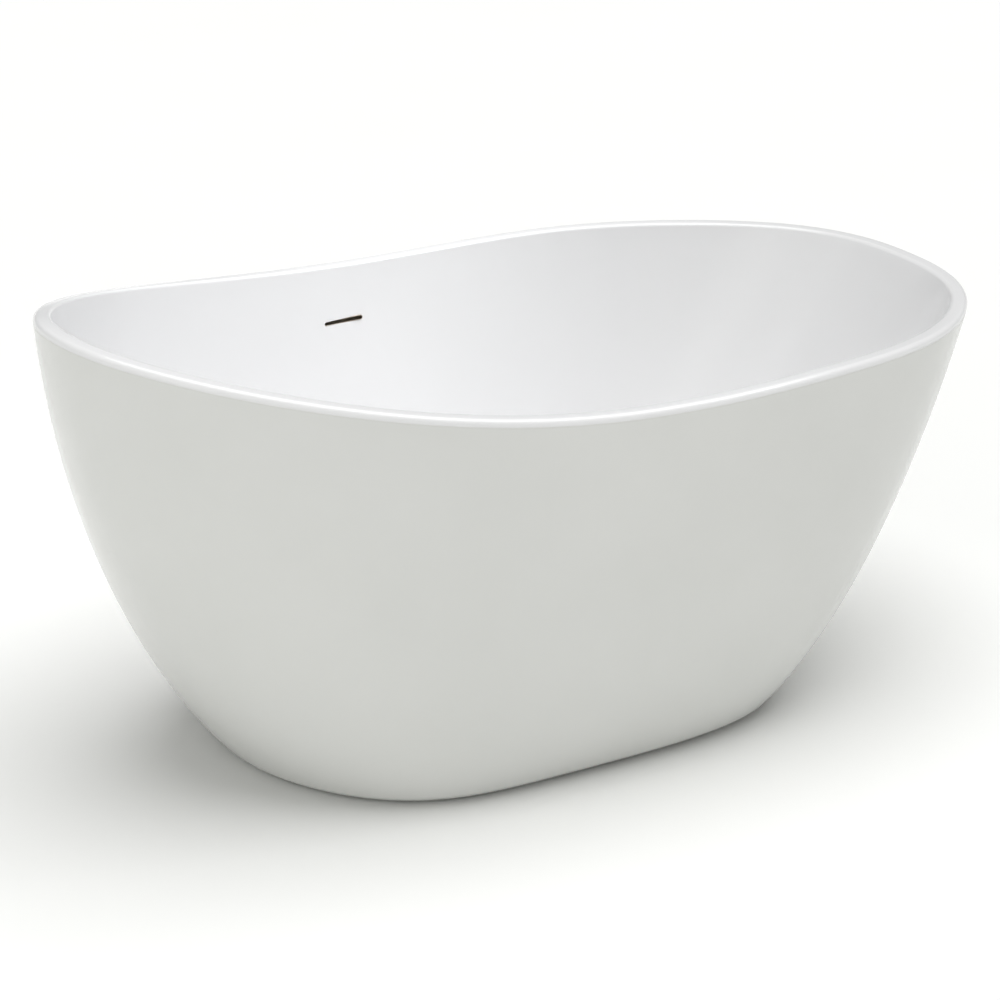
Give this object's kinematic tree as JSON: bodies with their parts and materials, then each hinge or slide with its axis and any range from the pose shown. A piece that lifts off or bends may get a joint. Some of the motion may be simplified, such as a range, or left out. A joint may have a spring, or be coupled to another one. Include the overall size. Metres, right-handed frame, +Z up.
{
  "type": "freestanding bathtub",
  "caption": "Freestanding single-slipper bathtub: smooth oval double-walled shell with one raised end, slot overflow, toe-tap drain and levelling feet.",
  "frame": {"origin": "on the floor under the middle of the rim's length and width", "axes": "+Z up, -X to the raised head end, +X to the low foot end, +Y to the side with the overflow slot"},
  "size_m": [1.5013, 0.8302, 0.719],
  "materials": {
    "acrylic": "gloss white sanitary acrylic",
    "board": "resin-sealed plywood",
    "frame_steel": "zinc-grey powder coat",
    "zinc": "zinc-plated",
    "stud_steel": "zinc-plated thread",
    "foot_rubber": "moulded matte",
    "nickel": "polished nickel",
    "slot_nickel": "brushed warm nickel",
    "seal_rubber": "soft black",
    "waste_plastic": "moulded white",
    "nut_plastic": "moulded black",
    "brass": "turned brass",
    "spring_steel": "drawn wire",
    "hose_plastic": "flexible grey"
  },
  "bodies": {
    "tub": {"basin": "acrylic", "apron": "acrylic", "base_board": "board", "frame_rail_front": "frame_steel", "frame_rail_back": "frame_steel", "frame_cross_head": "frame_steel", "frame_cross_mid": "frame_steel", "frame_cross_foot": "frame_steel", "board_screws": "zinc", "foot_plates": "frame_steel", "foot_weld_nuts": "zinc", "foot_lock_nuts": "zinc", "drain_flange": "nickel", "drain_seal": "seal_rubber", "drain_washer": "seal_rubber", "drain_lock_nut": "nut_plastic", "waste_body": "waste_plastic", "slip_nut": "waste_plastic", "slip_washer": "seal_rubber", "tailpiece": "nickel", "plug_cartridge": "brass", "plug_spring": "spring_steel", "overflow_trim": "slot_nickel", "overflow_gasket": "seal_rubber", "overflow_box": "waste_plastic", "overflow_hose": "hose_plastic", "hose_clamps": "zinc"},
    "pad_1": {"foot_pad_1": "foot_rubber"},
    "stud_1": {"foot_stud_1": "stud_steel"},
    "pad_2": {"foot_pad_2": "foot_rubber"},
    "stud_2": {"foot_stud_2": "stud_steel"},
    "pad_3": {"foot_pad_3": "foot_rubber"},
    "stud_3": {"foot_stud_3": "stud_steel"},
    "pad_4": {"foot_pad_4": "foot_rubber"},
    "stud_4": {"foot_stud_4": "stud_steel"},
    "pad_5": {"foot_pad_5": "foot_rubber"},
    "stud_5": {"foot_stud_5": "stud_steel"},
    "plug": {"plug_cap": "nickel", "plug_seal": "seal_rubber", "plug_stem": "brass"}
  },
  "joints": [
    {"name": "foot_1_slide", "type": "slide", "parent": "tub", "child": "pad_1", "axis": [0, 0, -1], "range_m": [-0.003, 0.012]},
    {"name": "foot_1_screw", "type": "hinge", "parent": "pad_1", "child": "stud_1", "pos_m": [-0.303, -0.19, 0.02], "axis": [0, 0, 1], "range_deg": [-2469, 618]},
    {"name": "foot_2_slide", "type": "slide", "parent": "tub", "child": "pad_2", "axis": [0, 0, -1], "range_m": [-0.003, 0.012]},
    {"name": "foot_2_screw", "type": "hinge", "parent": "pad_2", "child": "stud_2", "pos_m": [0.237, -0.19, 0.02], "axis": [0, 0, 1], "range_deg": [-2469, 618]},
    {"name": "foot_3_slide", "type": "slide", "parent": "tub", "child": "pad_3", "axis": [0, 0, -1], "range_m": [-0.003, 0.012]},
    {"name": "foot_3_screw", "type": "hinge", "parent": "pad_3", "child": "stud_3", "pos_m": [-0.303, 0.19, 0.02], "axis": [0, 0, 1], "range_deg": [-2469, 618]},
    {"name": "foot_4_slide", "type": "slide", "parent": "tub", "child": "pad_4", "axis": [0, 0, -1], "range_m": [-0.003, 0.012]},
    {"name": "foot_4_screw", "type": "hinge", "parent": "pad_4", "child": "stud_4", "pos_m": [0.237, 0.19, 0.02], "axis": [0, 0, 1], "range_deg": [-2469, 618]},
    {"name": "foot_5_slide", "type": "slide", "parent": "tub", "child": "pad_5", "axis": [0, 0, -1], "range_m": [-0.003, 0.012]},
    {"name": "foot_5_screw", "type": "hinge", "parent": "pad_5", "child": "stud_5", "pos_m": [0.129, 0, 0.02], "axis": [0, 0, 1], "range_deg": [-2469, 618]},
    {"name": "plug_slide", "type": "slide", "parent": "tub", "child": "plug", "axis": [0, 0, 1], "range_m": [0, 0.009], "deforming": ["plug_spring"]}
  ],
  "couplings": [
    {"joint": "foot_1_screw", "follows": "foot_1_slide", "rad_per_m": -3590.4},
    {"joint": "foot_2_screw", "follows": "foot_2_slide", "rad_per_m": -3590.4},
    {"joint": "foot_3_screw", "follows": "foot_3_slide", "rad_per_m": -3590.4},
    {"joint": "foot_4_screw", "follows": "foot_4_slide", "rad_per_m": -3590.4},
    {"joint": "foot_5_screw", "follows": "foot_5_slide", "rad_per_m": -3590.4}
  ]
}
